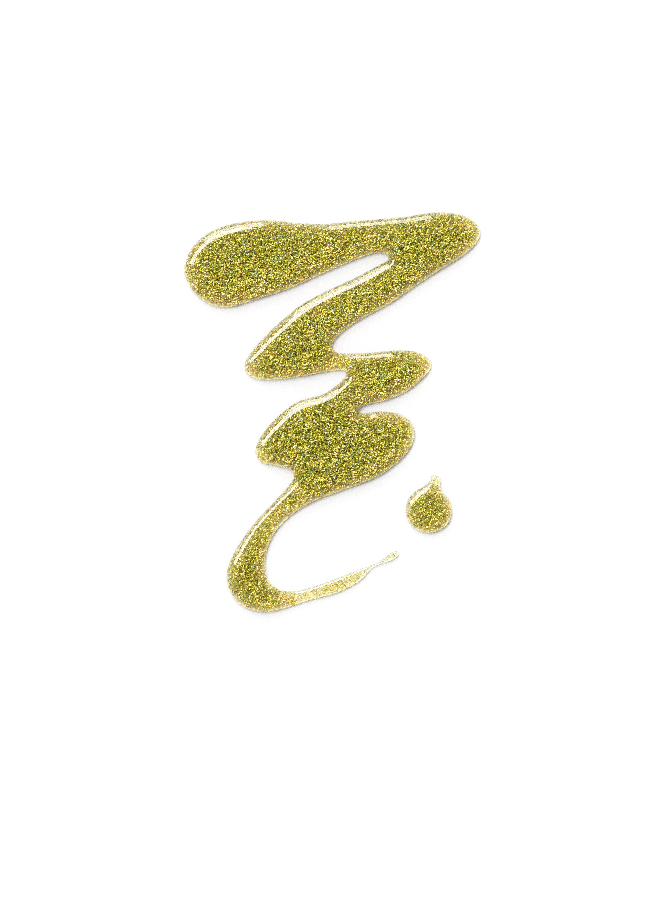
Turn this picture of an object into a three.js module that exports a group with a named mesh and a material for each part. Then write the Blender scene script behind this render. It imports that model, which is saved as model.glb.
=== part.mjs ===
// A poured sample of gold glitter nail polish: one zigzag trail that ends in a thin thread and a
// bead, and one separate drop beside it. Both lie on a flat surface at z = 0.
//
// Each puddle is a clear lacquer film over a bed of settled glitter. The film is one solid with a
// pocket in its underside, and the bed lies in that pocket. The height of the film comes from the
// balance of surface tension and weight that shapes any thin puddle, so it is high in the wide
// lobes and low in the necks and the tail.
//
// Millimetres, +Z up. The origin is below the middle of the whole sample's box, on the surface.
import * as THREE from "three";
import { mergeVertices } from "three/addons/utils/BufferGeometryUtils.js";

// ---- Driving dimensions --------------------------------------------------------------------

const CAPILLARY_LENGTH = 1.45; // how far from its edge the lacquer's surface flattens out
const WIDE_HEIGHT = 1.8; // height that an endlessly wide puddle would reach
const EDGE_HEIGHT = 0.35; // height of the film at its steep edge
const POCKET_FROM_HEIGHT = 0.75; // the pocket starts where the film is this high
const POCKET_FROM_EDGE = 0.5; // and this far from the edge
const CLEAR_COVER = 0.15; // clear lacquer between the film's surface and the pocket
const POCKET_GAP = 0.2; // gap between the bed and the pocket, above and all round

const GRID_STEP = 0.25; // spacing of the height grid
const EDGE_STEP = 0.7; // spacing of the corners along an outline
const FIELD_STEP = 1.35; // spacing of the corners inside a surface
const FIELD_MARGIN = 0.6; // least distance from an outline to an inside corner, in FIELD_STEPs
const RELAXING_SWEEPS = 160;
const OVER_RELAXATION = 1.7;

// The trail's edge, clockwise seen from above, as the corners of a closed smooth curve.
const TRAIL_OUTLINE = [
  // head and upper edge of the first stroke
  [-25.1, 23.6], [-24.7, 26.1], [-23.4, 28.4], [-21.2, 30.3], [-17.6, 31.8], [-11.6, 32.6],
  [-5.4, 32.1], [-1.6, 31.95], [4.0, 32.45], [12.0, 33.15], [18.2, 33.95], [22.4, 33.35],
  // first turn and lower edge of the second stroke
  [24.5, 32.0], [25.15, 30.4], [24.5, 28.8], [22.0, 26.5], [18.0, 24.0], [14.0, 21.4],
  [10.0, 18.6], [5.2, 16.0], [2.4, 14.2], [0.5, 12.5], [0.0, 11.3], [0.5, 10.4],
  // right-hand lobe below it
  [2.4, 10.0], [6.4, 10.1], [12.4, 10.5], [15.2, 9.9], [16.6, 8.9], [16.75, 7.6],
  [15.4, 5.8], [12.8, 3.7], [9.4, 2.1], [6.2, 1.35], [4.75, 0.85], [4.35, 0.4],
  // broad lobe and inner edge of the hook
  [4.9, -0.1], [8.6, 0.1], [11.6, -0.35], [13.4, -1.7], [14.0, -3.7], [13.2, -6.2],
  [10.8, -8.8], [7.2, -11.2], [1.2, -13.45], [-3.6, -15.35], [-7.2, -17.7], [-9.7, -20.4],
  [-11.1, -23.5], [-11.4, -26.4], [-10.8, -28.7], [-9.0, -30.15], [-6.2, -30.45],
  // upper edge of the tail, the thread and the bead
  [-2.6, -29.5], [1.6, -28.0], [4.8, -26.7], [6.4, -26.15], [8.2, -25.3], [9.0, -24.75],
  [10.2, -23.85], [11.2, -23.6], [11.4, -24.0], [10.6, -24.9], [9.4, -25.45], [8.1, -25.85],
  // lower edge of the thread and the tail
  [6.6, -26.7], [5.6, -27.8], [4.2, -29.0], [1.0, -30.6], [-4.0, -32.0], [-8.6, -33.45],
  // round the hook and up its outer edge
  [-11.6, -33.95], [-14.4, -33.35], [-16.6, -31.7], [-17.85, -28.9], [-17.6, -26.1],
  [-16.1, -23.0], [-13.3, -19.0], [-9.6, -15.0], [-7.3, -12.4], [-6.55, -11.0], [-7.1, -9.8],
  // left-hand lobe
  [-9.4, -9.1], [-12.0, -8.5], [-13.05, -7.0], [-12.5, -4.9], [-10.7, -2.3], [-8.0, 0.3],
  [-5.4, 1.95], [-1.6, 3.0], [0.8, 4.55], [2.4, 6.3], [2.2, 7.0],
  // lower edge and tip of the second stroke
  [0.0, 7.05], [-4.4, 6.2], [-9.6, 5.55], [-12.8, 5.7], [-14.6, 6.7], [-14.75, 8.4],
  [-13.3, 10.7], [-9.6, 14.6], [-5.4, 18.1], [-1.0, 20.55], [4.0, 22.85], [8.0, 25.0],
  // slot between the first two strokes and lower edge of the first
  [9.55, 25.95], [9.4, 26.75], [7.8, 27.1], [4.0, 25.95], [-1.6, 23.6], [-7.4, 21.0],
  [-13.2, 19.1], [-17.8, 17.85], [-21.2, 18.55], [-23.9, 20.9],
];

// The drop's edge, clockwise seen from above: a round drop with a short tail.
const DROP_OUTLINE = [
  [12.5, -16.8], [12.9, -15.0], [14.0, -13.6], [15.8, -12.5], [16.6, -11.8], [17.0, -10.9],
  [17.9, -10.75], [18.45, -11.5], [18.35, -12.6], [18.7, -13.5], [19.8, -14.8], [20.3, -16.6],
  [19.9, -18.6], [18.4, -20.0], [16.3, -20.5], [14.1, -19.8], [12.9, -18.5],
];

const LACQUER = { color: 0xf4e9b8, roughness: 0.05, metalness: 0, transparent: true, opacity: 0.4 };
const GLITTER = { color: 0xa99b3a, roughness: 0.35, metalness: 0.6 };

// ---- Outlines ------------------------------------------------------------------------------

// A closed smooth curve through the corners, as evenly spaced points.
function smoothLoop(corners, spacing) {
  const points = corners.map(([x, y]) => new THREE.Vector3(x, y, 0));
  const curve = new THREE.CatmullRomCurve3(points, true, "centripetal");
  curve.arcLengthDivisions = 20 * corners.length;
  const count = Math.round(curve.getLength() / spacing);
  return curve.getSpacedPoints(count).slice(0, count).map((p) => [p.x, p.y]);
}

function inside([x, y], loop) {
  let crossings = false;
  for (let i = 0, j = loop.length - 1; i < loop.length; j = i++) {
    const [xi, yi] = loop[i];
    const [xj, yj] = loop[j];
    if (yi > y !== yj > y && x < ((xj - xi) * (y - yi)) / (yj - yi) + xi) crossings = !crossings;
  }
  return crossings;
}

// Distance from a point to a loop.
function distance([x, y], loop) {
  let least = Infinity;
  loop.forEach(([ax, ay], i) => {
    const [bx, by] = loop[(i + 1) % loop.length];
    const [ux, uy] = [bx - ax, by - ay];
    const along = ((x - ax) * ux + (y - ay) * uy) / (ux * ux + uy * uy);
    const t = THREE.MathUtils.clamp(along, 0, 1);
    least = Math.min(least, Math.hypot(ax + t * ux - x, ay + t * uy - y));
  });
  return least;
}

function boxOf(points) {
  return new THREE.Box2().setFromPoints(points.map(([x, y]) => new THREE.Vector2(x, y)));
}

// ---- Film height ---------------------------------------------------------------------------

// Solves (laplacian of h) = (h - WIDE_HEIGHT) / CAPILLARY_LENGTH^2, with h = EDGE_HEIGHT on the
// outline, on a square grid. Returns the grid and a function that reads it between its nodes.
function shapeFilm(loop) {
  const box = boxOf(loop).expandByScalar(2 * GRID_STEP);
  const columns = Math.ceil((box.max.x - box.min.x) / GRID_STEP) + 1;
  const rows = Math.ceil((box.max.y - box.min.y) / GRID_STEP) + 1;
  const place = (i, j) => [box.min.x + i * GRID_STEP, box.min.y + j * GRID_STEP];
  const h = new Float64Array(columns * rows).fill(EDGE_HEIGHT);
  const wet = [];
  for (let j = 1; j < rows - 1; j++)
    for (let i = 1; i < columns - 1; i++) if (inside(place(i, j), loop)) wet.push(j * columns + i);
  const pull = (GRID_STEP / CAPILLARY_LENGTH) ** 2;
  for (let sweep = 0; sweep < RELAXING_SWEEPS; sweep++)
    for (const k of wet) {
      const around = h[k - 1] + h[k + 1] + h[k - columns] + h[k + columns];
      h[k] += OVER_RELAXATION * ((around + pull * WIDE_HEIGHT) / (4 + pull) - h[k]);
    }
  const at = ([x, y]) => {
    const u = THREE.MathUtils.clamp((x - box.min.x) / GRID_STEP, 0, columns - 1.001);
    const v = THREE.MathUtils.clamp((y - box.min.y) / GRID_STEP, 0, rows - 1.001);
    const k = Math.floor(v) * columns + Math.floor(u);
    const low = THREE.MathUtils.lerp(h[k], h[k + 1], u % 1);
    const high = THREE.MathUtils.lerp(h[k + columns], h[k + columns + 1], u % 1);
    return THREE.MathUtils.lerp(low, high, v % 1);
  };
  return { h, wet, columns, rows, place, at };
}

// The longest closed line inside which the film is at least this high and this far from its edge,
// clockwise like the outlines. It is traced from cell to cell of the grid.
function innerLoop(film, loop, height, fromEdge) {
  const { h, wet, columns, rows, place } = film;
  const depth = new Float64Array(h.length).fill(-1);
  for (const k of wet) {
    const room = distance(place(k % columns, Math.floor(k / columns)), loop);
    depth[k] = Math.min(h[k] / height, room / fromEdge) - 1;
  }
  const next = new Map();
  const crossing = (a, b) => {
    const [p, q] = [a, b].map((k) => place(k % columns, Math.floor(k / columns)));
    const t = depth[a] / (depth[a] - depth[b]);
    return [p[0] + t * (q[0] - p[0]), p[1] + t * (q[1] - p[1])];
  };
  const key = (a, b) => `${Math.min(a, b)},${Math.max(a, b)}`;
  for (let j = 0; j < rows - 1; j++)
    for (let i = 0; i < columns - 1; i++) {
      const k = j * columns + i;
      const ring = [k, k + 1, k + columns + 1, k + columns]; // anticlockwise
      const entries = [];
      const exits = [];
      ring.forEach((a, n) => {
        const b = ring[(n + 1) % 4];
        if (depth[a] > 0 && depth[b] <= 0) entries.push([a, b]);
        if (depth[a] <= 0 && depth[b] > 0) exits.push([a, b]);
      });
      entries.forEach(([a, b], n) => {
        const [c, d] = exits[n];
        next.set(key(c, d), { to: key(a, b), point: crossing(c, d) });
      });
    }
  let longest = [];
  while (next.size) {
    let at = next.keys().next().value;
    const loop = [];
    while (next.has(at)) {
      const { to, point } = next.get(at);
      next.delete(at);
      loop.push(point);
      at = to;
    }
    if (loop.length > longest.length) longest = loop;
  }
  return smoothLoop(longest.filter((_, i) => i % 2 === 0), EDGE_STEP);
}

// ---- Surfaces ------------------------------------------------------------------------------

// Delaunay triangles over the points, by Bowyer and Watson's method, as anticlockwise triples.
function delaunay(points) {
  const box = boxOf(points);
  const [cx, cy] = [(box.min.x + box.max.x) / 2, (box.min.y + box.max.y) / 2];
  const far = 20 * (box.max.x - box.min.x + box.max.y - box.min.y);
  const all = [...points, [cx - far, cy - far], [cx + far, cy - far], [cx, cy + far]];
  const circled = (a, b, c) => {
    const [ax, ay] = all[a];
    const [bx, by] = [all[b][0] - ax, all[b][1] - ay];
    const [dx, dy] = [all[c][0] - ax, all[c][1] - ay];
    const twice = 2 * (bx * dy - by * dx);
    const ux = (dy * (bx * bx + by * by) - by * (dx * dx + dy * dy)) / twice;
    const uy = (bx * (dx * dx + dy * dy) - dx * (bx * bx + by * by)) / twice;
    return { corners: [a, b, c], x: ax + ux, y: ay + uy, reach: ux * ux + uy * uy };
  };
  const n = points.length;
  let triangles = [circled(n, n + 1, n + 2)];
  points.forEach(([x, y], p) => {
    const edges = new Map();
    triangles = triangles.filter((t) => {
      if ((t.x - x) ** 2 + (t.y - y) ** 2 >= t.reach) return true;
      t.corners.forEach((a, i) => {
        const b = t.corners[(i + 1) % 3];
        if (!edges.delete(`${b},${a}`)) edges.set(`${a},${b}`, [a, b]);
      });
      return false;
    });
    for (const [a, b] of edges.values()) triangles.push(circled(a, b, p));
  });
  return triangles.map((t) => t.corners).filter((corners) => Math.max(...corners) < n);
}

// Delaunay triangles over the points that lie inside the loop and outside the hole.
function cover(points, loop, hole) {
  const middle = (t, axis) => (points[t[0]][axis] + points[t[1]][axis] + points[t[2]][axis]) / 3;
  return delaunay(points).filter((t) => {
    const m = [middle(t, 0), middle(t, 1)];
    return inside(m, loop) && !inside(m, hole);
  });
}

// Fills a loop with evenly sized triangles, as triples of [x, y] corners. Returns them with the
// loop, which gains a corner wherever a triangle would otherwise cut across it.
function fill(outline) {
  const box = boxOf(outline);
  const rowStep = (FIELD_STEP * Math.sqrt(3)) / 2;
  const field = [];
  for (let j = Math.ceil(box.min.y / rowStep); j * rowStep < box.max.y; j++)
    for (let i = Math.floor(box.min.x / FIELD_STEP); i * FIELD_STEP < box.max.x; i++) {
      const p = [(i + (j % 2 ? 0.5 : 0)) * FIELD_STEP, j * rowStep];
      if (inside(p, outline) && distance(p, outline) > FIELD_MARGIN * FIELD_STEP) field.push(p);
    }
  for (let loop = outline; ; ) {
    const points = [...loop, ...field];
    const triangles = cover(points, loop, []);
    const edges = new Set(triangles.flatMap(([a, b, c]) => [`${a},${b}`, `${b},${c}`, `${c},${a}`]));
    const finer = loop.flatMap((p, i) => {
      const after = (i + 1) % loop.length;
      const middle = p.map((v, axis) => (v + loop[after][axis]) / 2);
      return edges.has(`${after},${i}`) ? [p] : [p, middle];
    });
    if (finer.length === loop.length) {
      return { loop, triangles: triangles.map((t) => t.map((i) => points[i])) };
    }
    loop = finer;
  }
}

// Fills a level loop, less an optional hole, with triangles between their own corners only.
function fillLevel(loop, hole = []) {
  const points = [...loop, ...hole];
  return cover(points, loop, hole).map((t) => t.map((i) => points[i]));
}

const faceUp = (triangles, z) => triangles.flat().flatMap((p) => [p[0], p[1], z(p)]);
const faceDown = (triangles, z) => faceUp(triangles.map(([a, b, c]) => [a, c, b]), z);

// An upright wall along a clockwise loop. It faces out of the loop, or into it when the heights
// are swapped.
function wall(loop, low, high) {
  return loop.flatMap((a, i) => {
    const b = loop[(i + 1) % loop.length];
    const [a0, b0, a1, b1] = [[...a, low(a)], [...b, low(b)], [...a, high(a)], [...b, high(b)]];
    return [a0, a1, b1, a0, b1, b0].flat();
  });
}

function closedGeometry(...surfaces) {
  const geometry = new THREE.BufferGeometry();
  geometry.setAttribute("position", new THREE.Float32BufferAttribute(surfaces.flat(), 3));
  const merged = mergeVertices(geometry, 1e-4);
  merged.computeVertexNormals();
  return merged;
}

// ---- Puddles -------------------------------------------------------------------------------

// The clear film and the glitter bed of one puddle.
function puddle(name, corners) {
  const outline = smoothLoop(corners, EDGE_STEP);
  const film = shapeFilm(outline);
  const shrunk = (by) => innerLoop(film, outline, POCKET_FROM_HEIGHT + by, POCKET_FROM_EDGE + by);
  const surface = fill(outline);
  const pocket = fill(shrunk(0));
  const bed = fill(shrunk(POCKET_GAP));

  const ground = () => 0;
  const filmTop = film.at;
  const pocketTop = (p) => film.at(p) - CLEAR_COVER;
  const bedTop = (p) => film.at(p) - CLEAR_COVER - POCKET_GAP;

  const lacquer = new THREE.Mesh(
    closedGeometry(
      faceUp(surface.triangles, filmTop),
      wall(surface.loop, ground, filmTop),
      faceDown(fillLevel(surface.loop, pocket.loop), ground),
      wall(pocket.loop, pocketTop, ground),
      faceDown(pocket.triangles, pocketTop),
    ),
    new THREE.MeshStandardMaterial(LACQUER),
  );
  lacquer.name = `${name}_lacquer`;

  const glitter = new THREE.Mesh(
    closedGeometry(
      faceUp(bed.triangles, bedTop),
      wall(bed.loop, ground, bedTop),
      faceDown(fillLevel(bed.loop), ground),
    ),
    new THREE.MeshStandardMaterial(GLITTER),
  );
  glitter.name = `${name}_glitter`;
  return [lacquer, glitter];
}

// ---- Whole sample --------------------------------------------------------------------------

const sample = new THREE.Group();
sample.add(...puddle("trail", TRAIL_OUTLINE), ...puddle("drop", DROP_OUTLINE));
const middle = new THREE.Box3().setFromObject(sample).getCenter(new THREE.Vector3());
sample.position.set(-middle.x, -middle.y, 0);

export default sample;
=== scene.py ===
"""A poured sample of gold glitter nail polish: a zigzag trail and a drop on a pale surface.

Each puddle is a clear lacquer film with thousands of separate hexagonal flakes inside it. The
film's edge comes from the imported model. Its height is solved from surface tension and weight, as
in any thin puddle, and the flakes are then strewn through it. Lengths here are in millimetres
until a mesh is made, because the parts are so small.
"""

import math

import bpy
import numpy as np
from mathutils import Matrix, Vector, geometry, kdtree, noise


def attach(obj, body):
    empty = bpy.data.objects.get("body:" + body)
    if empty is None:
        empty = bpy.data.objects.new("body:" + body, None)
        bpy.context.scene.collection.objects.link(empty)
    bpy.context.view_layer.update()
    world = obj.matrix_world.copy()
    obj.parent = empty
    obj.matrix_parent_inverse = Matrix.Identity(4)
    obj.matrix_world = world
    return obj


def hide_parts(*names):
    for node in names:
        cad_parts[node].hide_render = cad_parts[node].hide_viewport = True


MM = 0.001
SEED = 7

# ---- Film ------------------------------------------------------------------------------------

CAPILLARY_LENGTH = 1.45  # over which the surface levels out
WIDE_HEIGHT = 1.8  # of a film much wider than that
EDGE_HEIGHT = 0.35  # at the rim, before the lip is rounded off
RIM_STEP = 0.12  # between points along the rim
FIELD_STEP = 0.2  # between points inside it
FIELD_CLEARANCE = 0.4  # of a step, from the last ring of the lip to the field of points inside it
LIP = 0.3  # width of the rounded lip at the edge
LIP_RINGS = (0.008, 0.03, 0.065, 0.115, 0.18)  # how far inside the rim its rows of points lie
RING_SLACK = 0.97  # points are left out where a bend brings them nearer to the rim than this share
WAVES = ((0.9, 0.0025), (2.6, 0.005))  # wavelength and height of the surface's faint waves
WAVES_START = 0.3  # how far above EDGE_HEIGHT they reach their full height
ON_FLOOR = 0.001  # a corner lower than this is on the floor
CURVE_STEPS = 12  # between two points of a CAD outline
SOLVER_ROUNDS = 400  # at most
SOLVER_REST = 1e-9  # what the solver may leave unbalanced at a point

# ---- Flakes ----------------------------------------------------------------------------------

FLAKE_THICKNESS = 0.012
FLAKE_RADII = (0.085, 0.112)  # centre to corner, before the kind's own scale
FLAKES_PER_MM2 = 115  # where the film is thick
THIN_FILM = 0.39  # no flakes where the film is thinner than this
FULL_FILM = 1.7  # all of them where it is thicker than this
CROWDING = 1.4  # 1 if their number grows evenly between those two, more if it lags at first
CLUMPS = (0.8, 0.2)  # size of the clumps they lie in, and how much thicker the film counts there
CLUMP_LAYER = 0.5  # where the clumps' pattern cuts through the noise
SPARSE = 0.06  # how far above THIN_FILM they stay fewer
TILT = math.radians(14)
SETTLED = 1.6  # 1 if they hang evenly from bottom to top, more if they have sunk
FLOOR_GAP = 0.03
SURFACE_GAP = 0.04
CORNER_GAP = 0.02  # how far a tilted flake's corner may reach into those two gaps
MOST_FLAKES_IN_A_PIECE = 9800

HUE_PATCH = (0.75, 0.35)  # size of the patches in which one kind prevails, and their raggedness
HUE_LAYER = 7.5  # where the patches' pattern cuts through the noise
HUE_WITH_DEPTH = 0.5  # per mm: how much the later kinds of FLAKE_KINDS prevail in deep film

# Kinds of flake: share, colours that it varies between (linear), roughness and scale.
FLAKE_KINDS = {
    "copper": (0.08, ((0.77, 0.54, 0.16), (0.93, 0.72, 0.38)), 0.58, 1.15),
    "champagne": (0.11, ((0.87, 0.84, 0.55), (0.95, 0.93, 0.77)), 0.56, 1.0),
    "gold": (0.36, ((0.74, 0.70, 0.12), (0.89, 0.87, 0.34)), 0.6, 1.0),
    "olive": (0.34, ((0.42, 0.41, 0.02), (0.61, 0.60, 0.09)), 0.6, 1.0),
    "green": (0.07, ((0.45, 0.60, 0.20), (0.54, 0.78, 0.54)), 0.58, 1.15),
    "pearl": (0.04, ((0.68, 0.66, 0.48), (0.84, 0.82, 0.72)), 0.58, 1.1),
}

# ---- Lacquer ---------------------------------------------------------------------------------

REFRACTION = 1.5
TINTS = ((0.3, (1.0, 0.975, 0.92)), (0.7, (1.0, 0.985, 0.955)))  # for how strong the noise is
TINT_CLOUDS = 180  # per metre
ABSORBED_PER_MM = (0.19, 0.25, 0.66)  # of red, green and blue light
TO_THE_LAMPS = (-0.6, 0.8, 0)  # across the floor
# The share of the lamps' light that reaches what lies in and under the film, for how far the
# surface that lets it in leans away from the lamps (-1 straight towards them, 1 straight away).
# It is more than 1 where the film's bent surface gathers light.
LET_THROUGH = (
    (-1, 0.3),
    (-0.6, 0.6),
    (-0.3, 0.78),
    (0, 0.86),
    (0.3, 1.6),
    (0.6, 1.9),
    (0.85, 0.65),
    (1, 0.15),
)
WARMTH = (1, 0.9, 0.8)  # powers of that share for red, green and blue, so that shade is cooler
LET_IN = 0.02  # the share that goes right through the film to the floor beside it

# ---- Set -------------------------------------------------------------------------------------

PICTURE_HEIGHT = 153.0  # what the camera's frame takes in from top to bottom
AIM = (-0.34, -6.46)  # the point under the camera
LENS = 100
SENSOR = 36
NEAREST = 0.01  # metres from the camera
PICTURE_FILTER = 0.85

LIGHT_DISTANCE = 8.0
# Softboxes: degrees from straight up, compass direction from +X, degrees wide, degrees tall,
# radiance.
SOFTBOXES = {
    "key": (48, 131, 51, 16, 14.2),
    "low": (64, 110, 32, 24, 9.3),
}
# Radiance of the surroundings, for how high up they are (0 at the horizon, 1 overhead). They
# are dark overhead, where the camera stands.
SKY = ((0.3, 1.0), (0.45, 0.45), (0.75, 0.45), (0.98, 0.0))
FLOOR_COLOUR = (0.74, 0.74, 0.74)
FLOOR_ROUGHNESS = 0.9
FLOOR_REACH = 1.5  # metres each way
FLOOR_LIFT = 0.01  # the film's underside wets the floor, with no air between them


def outline(node):
    """The edge of a CAD node where it meets the floor, clockwise seen from above."""
    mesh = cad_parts[node].data
    points = [tuple(round(c / MM, 4) for c in v.co) for v in mesh.vertices]
    edges = set()
    for face in mesh.polygons:
        corners = [points[i] for i in face.vertices]
        if max(c[2] for c in corners) < ON_FLOOR:
            edges.update(zip(corners, corners[1:] + corners[:1]))
    after = {a: b for a, b in edges if (b, a) not in edges}
    loops = []
    while after:
        start, at = after.popitem()
        loop = [start]
        while at != start:
            loop.append(at)
            at = after.pop(at)
        loops.append(np.array(loop)[:, :2])
    return max(loops, key=lambda loop: np.ptp(loop[:, 0]) * np.ptp(loop[:, 1]))


def resample(loop, spacing):
    """Evenly spaced points on a smooth closed curve through the loop's points."""
    p, a, b, c = (np.roll(loop, k, axis=0) for k in (0, 1, -1, -2))
    t = np.linspace(0, 1, CURVE_STEPS, endpoint=False)[:, None, None]
    square, cube = 2 * a - 5 * p + 4 * b - c, 3 * p - a - 3 * b + c
    curve = 0.5 * (2 * p + (b - a) * t + square * t**2 + cube * t**3)
    fine = curve.transpose(1, 0, 2).reshape(-1, 2)
    closed = np.vstack([fine, fine[:1]])
    length = np.concatenate([[0], np.cumsum(np.hypot(*np.diff(closed, axis=0).T))])
    at = np.linspace(0, length[-1], round(length[-1] / spacing), endpoint=False)
    return np.stack([np.interp(at, length, closed[:, k]) for k in (0, 1)], axis=1)


def triangulate(points, rim_count):
    """Triangles over the points, inside the closed line of the first rim_count of them."""
    rim = [(i, (i + 1) % rim_count) for i in range(rim_count)]
    out = geometry.delaunay_2d_cdt([Vector(p) for p in points], rim, [], 1, 1e-6)
    source = [old[0] for old in out[3]]
    return np.array([[source[i] for i in face] for face in out[2]])


def film_height(points, triangles, rim_count):
    """Solves (laplacian of h) = (h - WIDE_HEIGHT) / CAPILLARY_LENGTH^2 on the triangles, with
    h = EDGE_HEIGHT on the rim, by conjugate gradients."""
    n = len(points)
    start, end, weight = [], [], []
    mass = np.zeros(n)
    for k in range(3):
        apex, i, j = (triangles[:, (k + s) % 3] for s in range(3))
        u, v = points[i] - points[apex], points[j] - points[apex]
        cross = u[:, 0] * v[:, 1] - u[:, 1] * v[:, 0]
        start.append(i)
        end.append(j)
        weight.append(0.5 * (u * v).sum(axis=1) / cross)
        mass += np.bincount(apex, np.abs(cross) / 6, n)
    start, end, weight = (np.concatenate(x) for x in (start, end, weight))
    mass /= CAPILLARY_LENGTH**2
    free = np.arange(n) >= rim_count

    def pull(h):
        flow = weight * (h[start] - h[end])
        return np.bincount(start, flow, n) - np.bincount(end, flow, n) + mass * h

    h = np.full(n, EDGE_HEIGHT)
    scale = np.bincount(start, weight, n) + np.bincount(end, weight, n) + mass
    rest = free * (mass * WIDE_HEIGHT - pull(h))
    step = rest / scale
    size = rest @ step
    for _ in range(SOLVER_ROUNDS):
        pulled = free * pull(step)
        along = size / (step @ pulled)
        h += along * step
        rest -= along * pulled
        if abs(rest).max() < SOLVER_REST:
            break
        before, size = size, rest @ (rest / scale)
        step = rest / scale + size / before * step
    return h


def make_piece(name, mesh, node):
    """A piece in the place of one CAD node."""
    piece = bpy.data.objects.new(name, mesh)
    bpy.context.scene.collection.objects.link(piece)
    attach(piece, "root")
    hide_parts(node)


def film_points(rim):
    """The points that a film is meshed over, and how far each lies from the rim: the rim itself,
    rings of points inside it for the lip, and an even field inside those."""
    along = np.roll(rim, -1, axis=0) - np.roll(rim, 1, axis=0)
    along /= np.hypot(*along.T)[:, None]
    inward = np.stack([along[:, 1], -along[:, 0]], axis=1)
    near = kdtree.KDTree(len(rim))
    for i, (x, y) in enumerate(rim):
        near.insert((x, y, 0), i)
    near.balance()

    field = []
    row = FIELD_STEP * math.sqrt(3) / 2
    low, high = rim.min(axis=0), rim.max(axis=0)
    for j in range(int((high[1] - low[1]) / row) + 1):
        for i in range(int((high[0] - low[0]) / FIELD_STEP) + 1):
            p = np.array((low[0] + (i + j % 2 / 2) * FIELD_STEP, low[1] + j * row))
            _, k, gap = near.find((p[0], p[1], 0))
            if gap > LIP_RINGS[-1] + FIELD_CLEARANCE * FIELD_STEP and (p - rim[k]) @ inward[k] > 0:
                field.append(p)
    rings = []
    for gap in LIP_RINGS:
        rings += [p for p in rim + gap * inward if near.find((*p, 0))[2] > RING_SLACK * gap]
    points = np.vstack([rim, rings, field])
    return points, np.array([near.find((*p, 0))[2] for p in points])


def make_film(name, node, material):
    """The lacquer of one puddle. Returns its plan: points, triangles, the depth of lacquer
    before its lip is rounded off, and the height of its top."""
    rim = resample(outline(node), RIM_STEP)
    points, inset = film_points(rim)
    triangles = triangulate(points, len(rim))
    height = film_height(points, triangles, len(rim))
    top = height * np.sqrt(1 - (1 - np.minimum(inset / LIP, 1)) ** 2)
    for wavelength, waviness in WAVES:
        wave = [noise.noise(Vector((x / wavelength, y / wavelength, wavelength))) for x, y in points]
        top += waviness * np.array(wave) * np.clip((height - EDGE_HEIGHT) / WAVES_START, 0, 1)
    under = triangulate(rim, len(rim))[:, ::-1]

    mesh = bpy.data.meshes.new(name)
    corners = np.column_stack([points, top]) * MM
    mesh.from_pydata(corners.tolist(), [], np.vstack([triangles, under]).tolist())
    mesh.polygons.foreach_set("use_smooth", np.arange(len(mesh.polygons)) < len(triangles))
    mesh.materials.append(material)
    mesh.update()
    make_piece(name, mesh, node)
    return points, triangles, height, top


def strew(plan, rng):
    """Flakes strewn through a film: kinds, centres, unit normals, spins and radii."""
    points, triangles, height, top = plan
    a, b, c = (points[triangles[:, k]] for k in range(3))
    area = 0.5 * np.abs((b - a)[:, 0] * (c - a)[:, 1] - (b - a)[:, 1] * (c - a)[:, 0])
    deep = height[triangles].mean(axis=1)
    middle = (a + b + c) / 3 / CLUMPS[0]
    clump = CLUMPS[1] * np.array([noise.noise(Vector((x, y, CLUMP_LAYER))) for x, y in middle])
    crowd = np.clip((deep + clump - THIN_FILM) / (FULL_FILM - THIN_FILM), 0, 1) ** CROWDING
    crowd *= FLAKES_PER_MM2 * np.clip((deep - THIN_FILM) / SPARSE, 0, 1)
    share = area * crowd
    count = round(share.sum())
    which = rng.choice(len(triangles), count, p=share / share.sum())
    u, v = rng.random((2, count))
    over = u + v > 1
    u[over], v[over] = 1 - u[over], 1 - v[over]
    mix = np.column_stack([1 - u - v, u, v])
    place = np.einsum("nk,nkd->nd", mix, points[triangles[which]])
    ceiling = np.maximum((mix * top[triangles[which]]).sum(axis=1) - SURFACE_GAP, FLOOR_GAP)
    z = FLOOR_GAP + rng.random(count) ** SETTLED * (ceiling - FLOOR_GAP)
    patch = [noise.noise(Vector((x, y, HUE_LAYER))) for x, y in place / HUE_PATCH[0]]
    patch += HUE_PATCH[1] * rng.standard_normal(count) + HUE_WITH_DEPTH * deep[which]
    rank = np.argsort(np.argsort(patch)) / count
    shares, _, _, scales = zip(*FLAKE_KINDS.values())
    shares = np.cumsum(shares)
    kinds = np.searchsorted(shares / shares[-1], rank, side="right")
    radius = rng.uniform(*FLAKE_RADII, count) * np.array(scales)[kinds]
    room = np.minimum(z - FLOOR_GAP + CORNER_GAP, ceiling - z + CORNER_GAP)
    tilt = np.minimum(rng.rayleigh(TILT, count), np.arcsin(np.clip(room / radius, 0, 1)))
    towards = rng.uniform(0, 2 * math.pi, count)
    normal = np.column_stack(
        [np.sin(tilt) * np.cos(towards), np.sin(tilt) * np.sin(towards), np.cos(tilt)]
    )
    spin = rng.uniform(0, math.pi / 3, count)
    return kinds, np.column_stack([place, z]), normal, spin, radius


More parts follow.
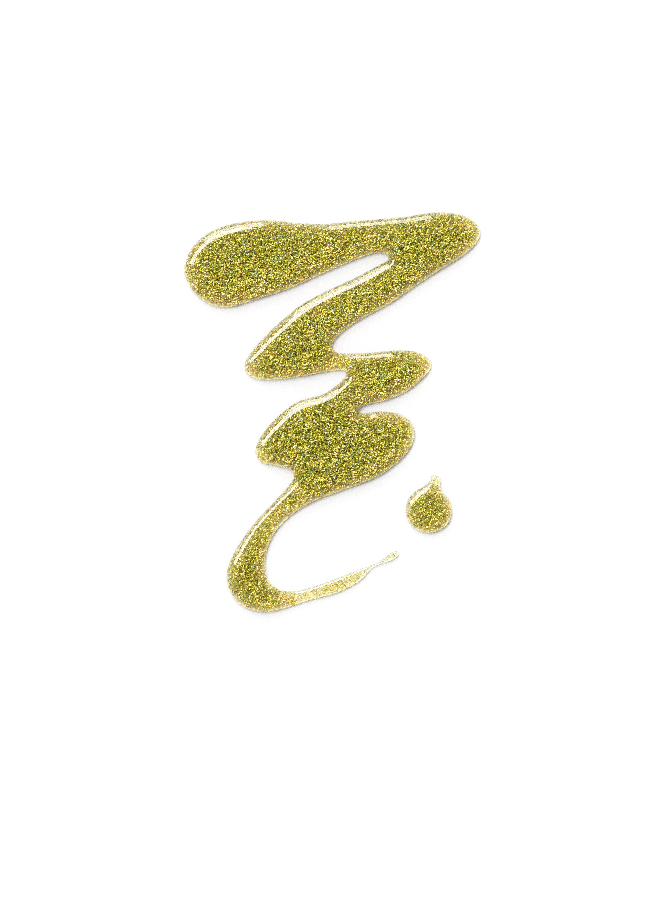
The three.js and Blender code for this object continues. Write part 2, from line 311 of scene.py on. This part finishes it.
def make_flakes(name, node, flakes, material):
    """One piece of many separate hexagonal flakes."""
    centre, normal, spin, radius = flakes
    n = len(centre)
    across = np.cross(normal, np.broadcast_to((0.0, 1.0, 0.0), normal.shape))
    across /= np.linalg.norm(across, axis=1)[:, None]
    along = np.cross(normal, across)
    angle = spin[:, None] + np.arange(6) * math.pi / 3
    ring = np.cos(angle)[..., None] * across[:, None] + np.sin(angle)[..., None] * along[:, None]
    ring = centre[:, None] + radius[:, None, None] * ring
    lift = normal[:, None] * FLAKE_THICKNESS / 2
    corners = np.concatenate([ring + lift, ring - lift], axis=1).reshape(-1, 3) * MM

    # The faces of one flake by corner number: its top, its underside and its six edges.
    faces = [tuple(range(6)), tuple(range(11, 5, -1))]
    faces += [(k, k + 6, (k + 1) % 6 + 6, (k + 1) % 6) for k in range(6)]
    starts = np.cumsum([0] + [len(face) for face in faces])
    pattern = np.concatenate(faces)
    mesh = bpy.data.meshes.new(name)
    mesh.vertices.add(12 * n)
    mesh.vertices.foreach_set("co", corners.ravel())
    mesh.loops.add(len(pattern) * n)
    mesh.loops.foreach_set("vertex_index", (pattern + 12 * np.arange(n)[:, None]).ravel())
    mesh.polygons.add(len(faces) * n)
    mesh.polygons.foreach_set("loop_start", (starts[:-1] + starts[-1] * np.arange(n)[:, None]).ravel())
    mesh.polygons.foreach_set("use_smooth", np.zeros(len(faces) * n, dtype=bool))
    mesh.update(calc_edges=True)
    mesh.validate()
    mesh.materials.append(material)
    make_piece(name, mesh, node)


def fill_with_flakes(name, node, plan, materials, rng):
    """All the flakes of one puddle, sorted by kind into pieces of a workable size."""
    kinds, *flakes = strew(plan, rng)
    for k, kind in enumerate(FLAKE_KINDS):
        chosen = np.flatnonzero(kinds == k)
        parts = np.array_split(chosen, math.ceil(len(chosen) / MOST_FLAKES_IN_A_PIECE))
        for i, part in enumerate(parts):
            suffix = f"_{i + 1}" if len(parts) > 1 else ""
            chunk = [values[part] for values in flakes]
            make_flakes(f"{name}_{kind}_flakes{suffix}", node, chunk, materials[kind])
    print(name, "flakes", len(flakes[0]))


# ---- Materials -------------------------------------------------------------------------------


def new_material(name):
    """A new material, with its nodes, its links and its main shader."""
    material = bpy.data.materials.new(name)
    material.use_nodes = True
    nodes, links = material.node_tree.nodes, material.node_tree.links
    return material, nodes, links, nodes["Principled BSDF"]


def add_ramp(nodes, stops):
    """A colour ramp through (position, colour) stops."""
    ramp = nodes.new("ShaderNodeValToRGB")
    elements = ramp.color_ramp.elements
    while len(elements) < len(stops):
        elements.new(1)
    for element, (position, colour) in zip(elements, stops):
        element.position = position
        element.color = (*colour, 1)
    return ramp


def lamps_through_lacquer(nodes, links):
    """How much of the lamps' light a surface of the lacquer lets through, for rays that go from
    a lit point to a lamp. They leave the film through its backfacing side."""
    surface = nodes.new("ShaderNodeNewGeometry")
    lean = nodes.new("ShaderNodeVectorMath")
    lean.operation = "DOT_PRODUCT"
    lean.inputs[1].default_value = TO_THE_LAMPS
    links.new(surface.outputs["Normal"], lean.inputs[0])
    span = nodes.new("ShaderNodeMapRange")
    span.inputs["From Min"].default_value = -1
    links.new(lean.outputs["Value"], span.inputs["Value"])
    stops = [((x + 1) / 2, [share**power for power in WARMTH]) for x, share in LET_THROUGH]
    gather = add_ramp(nodes, stops)
    links.new(span.outputs["Result"], gather.inputs["Fac"])
    passing = nodes.new("ShaderNodeMixRGB")
    passing.inputs["Color1"].default_value = (LET_IN, LET_IN, LET_IN, 1)
    links.new(surface.outputs["Backfacing"], passing.inputs["Fac"])
    links.new(gather.outputs["Color"], passing.inputs["Color2"])
    return passing.outputs["Color"]


def lacquer_material():
    """Clear glossy lacquer with a straw tint that varies a little. Lamps shine through it."""
    material, nodes, links, shader = new_material("clear_lacquer")
    shader.inputs["Transmission Weight"].default_value = 1
    shader.inputs["Roughness"].default_value = 0
    shader.inputs["IOR"].default_value = REFRACTION
    place = nodes.new("ShaderNodeTexCoord")
    cloud = nodes.new("ShaderNodeTexNoise")
    cloud.inputs["Scale"].default_value = TINT_CLOUDS
    cloud.inputs["Detail"].default_value = 2
    tint = add_ramp(nodes, TINTS)
    links.new(place.outputs["Object"], cloud.inputs["Vector"])
    links.new(cloud.outputs["Fac"], tint.inputs["Fac"])
    links.new(tint.outputs["Color"], shader.inputs["Base Color"])

    clear = nodes.new("ShaderNodeBsdfTransparent")
    links.new(lamps_through_lacquer(nodes, links), clear.inputs["Color"])
    ray = nodes.new("ShaderNodeLightPath")
    mix = nodes.new("ShaderNodeMixShader")
    links.new(ray.outputs["Is Shadow Ray"], mix.inputs["Fac"])
    links.new(shader.outputs["BSDF"], mix.inputs[1])
    links.new(clear.outputs["BSDF"], mix.inputs[2])
    links.new(mix.outputs["Shader"], nodes["Material Output"].inputs["Surface"])

    # The colour that is absorbed most sets the density, and the others are let by in proportion.
    most = max(ABSORBED_PER_MM)
    depth = nodes.new("ShaderNodeVolumeAbsorption")
    depth.inputs["Density"].default_value = most / MM
    depth.inputs["Color"].default_value = (*(1 - a / most for a in ABSORBED_PER_MM), 1)
    links.new(depth.outputs["Volume"], nodes["Material Output"].inputs["Volume"])
    return material


def flake_material(kind):
    """Metallised flakes. Each has its own shade between two colours."""
    _, (dark, light), roughness, _ = FLAKE_KINDS[kind]
    material, nodes, links, shader = new_material(f"{kind}_flakes")
    shader.inputs["Metallic"].default_value = 1
    shader.inputs["Roughness"].default_value = roughness
    island = nodes.new("ShaderNodeNewGeometry")
    shade = add_ramp(nodes, ((0, dark), (1, light)))
    links.new(island.outputs["Random Per Island"], shade.inputs["Fac"])
    links.new(shade.outputs["Color"], shader.inputs["Base Color"])
    return material


# ---- Set -------------------------------------------------------------------------------------


def make_floor():
    """A plain pale floor."""
    mesh = bpy.data.meshes.new("floor")
    corners = [(-1, -1), (1, -1), (1, 1), (-1, 1)]
    corners = [(x * FLOOR_REACH, y * FLOOR_REACH, FLOOR_LIFT * MM) for x, y in corners]
    mesh.from_pydata(corners, [], [(0, 1, 2, 3)])
    material, _, _, shader = new_material("pale_floor")
    shader.inputs["Base Color"].default_value = (*FLOOR_COLOUR, 1)
    shader.inputs["Roughness"].default_value = FLOOR_ROUGHNESS
    shader.inputs["Specular IOR Level"].default_value = 0
    mesh.materials.append(material)
    floor = bpy.data.objects.new("floor", mesh)
    bpy.context.scene.collection.objects.link(floor)


def make_softbox(name):
    """A rectangular lamp that faces the sample."""
    zenith, compass, wide, tall, radiance = SOFTBOXES[name]
    width, height = (2 * LIGHT_DISTANCE * math.tan(math.radians(a / 2)) for a in (wide, tall))
    lamp = bpy.data.lights.new(name, "AREA")
    lamp.shape = "RECTANGLE"
    lamp.size = width
    lamp.size_y = height
    lamp.energy = radiance * math.pi * width * height
    softbox = bpy.data.objects.new(name, lamp)
    softbox.rotation_euler = (math.radians(zenith), 0, math.radians(compass + 90))
    softbox.location = softbox.rotation_euler.to_matrix() @ Vector((0, 0, LIGHT_DISTANCE))
    bpy.context.scene.collection.objects.link(softbox)


def make_surroundings():
    """Soft light from all round, the same in every direction at one height."""
    world = bpy.data.worlds.new("studio")
    bpy.context.scene.world = world
    world.use_nodes = True
    nodes, links = world.node_tree.nodes, world.node_tree.links
    sky = nodes.new("ShaderNodeTexCoord")
    parts = nodes.new("ShaderNodeSeparateXYZ")
    glow = add_ramp(nodes, [(height, [radiance] * 3) for height, radiance in SKY])
    links.new(sky.outputs["Generated"], parts.inputs["Vector"])
    links.new(parts.outputs["Z"], glow.inputs["Fac"])
    links.new(glow.outputs["Color"], nodes["Background"].inputs["Color"])


def make_camera():
    """A camera that looks straight down, with +Y up in its picture."""
    scene = bpy.context.scene
    view = bpy.data.cameras.new("camera")
    view.lens = LENS
    view.sensor_width = SENSOR
    view.clip_start = NEAREST
    camera = bpy.data.objects.new("camera", view)
    camera.location = (AIM[0] * MM, AIM[1] * MM, PICTURE_HEIGHT * MM * LENS / SENSOR)
    scene.collection.objects.link(camera)
    scene.camera = camera
    scene.cycles.filter_width = PICTURE_FILTER
    scene.cycles.use_denoising = False
    scene.view_settings.view_transform = "Standard"
    scene.view_settings.look = "None"


# ---- Build -----------------------------------------------------------------------------------

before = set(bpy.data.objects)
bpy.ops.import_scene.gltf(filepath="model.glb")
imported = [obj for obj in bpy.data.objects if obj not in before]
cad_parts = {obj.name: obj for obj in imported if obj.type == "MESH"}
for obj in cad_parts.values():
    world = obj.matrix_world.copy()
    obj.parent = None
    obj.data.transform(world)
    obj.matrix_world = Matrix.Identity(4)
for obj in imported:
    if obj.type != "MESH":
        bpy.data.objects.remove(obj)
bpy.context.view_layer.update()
make_floor()
for name in SOFTBOXES:
    make_softbox(name)
make_surroundings()
make_camera()
lacquer = lacquer_material()
flake_materials = {kind: flake_material(kind) for kind in FLAKE_KINDS}
rng = np.random.default_rng(SEED)
for puddle in ("trail", "drop"):
    plan = make_film(f"{puddle}_film", f"{puddle}_lacquer", lacquer)
    fill_with_flakes(puddle, f"{puddle}_glitter", plan, flake_materials, rng)
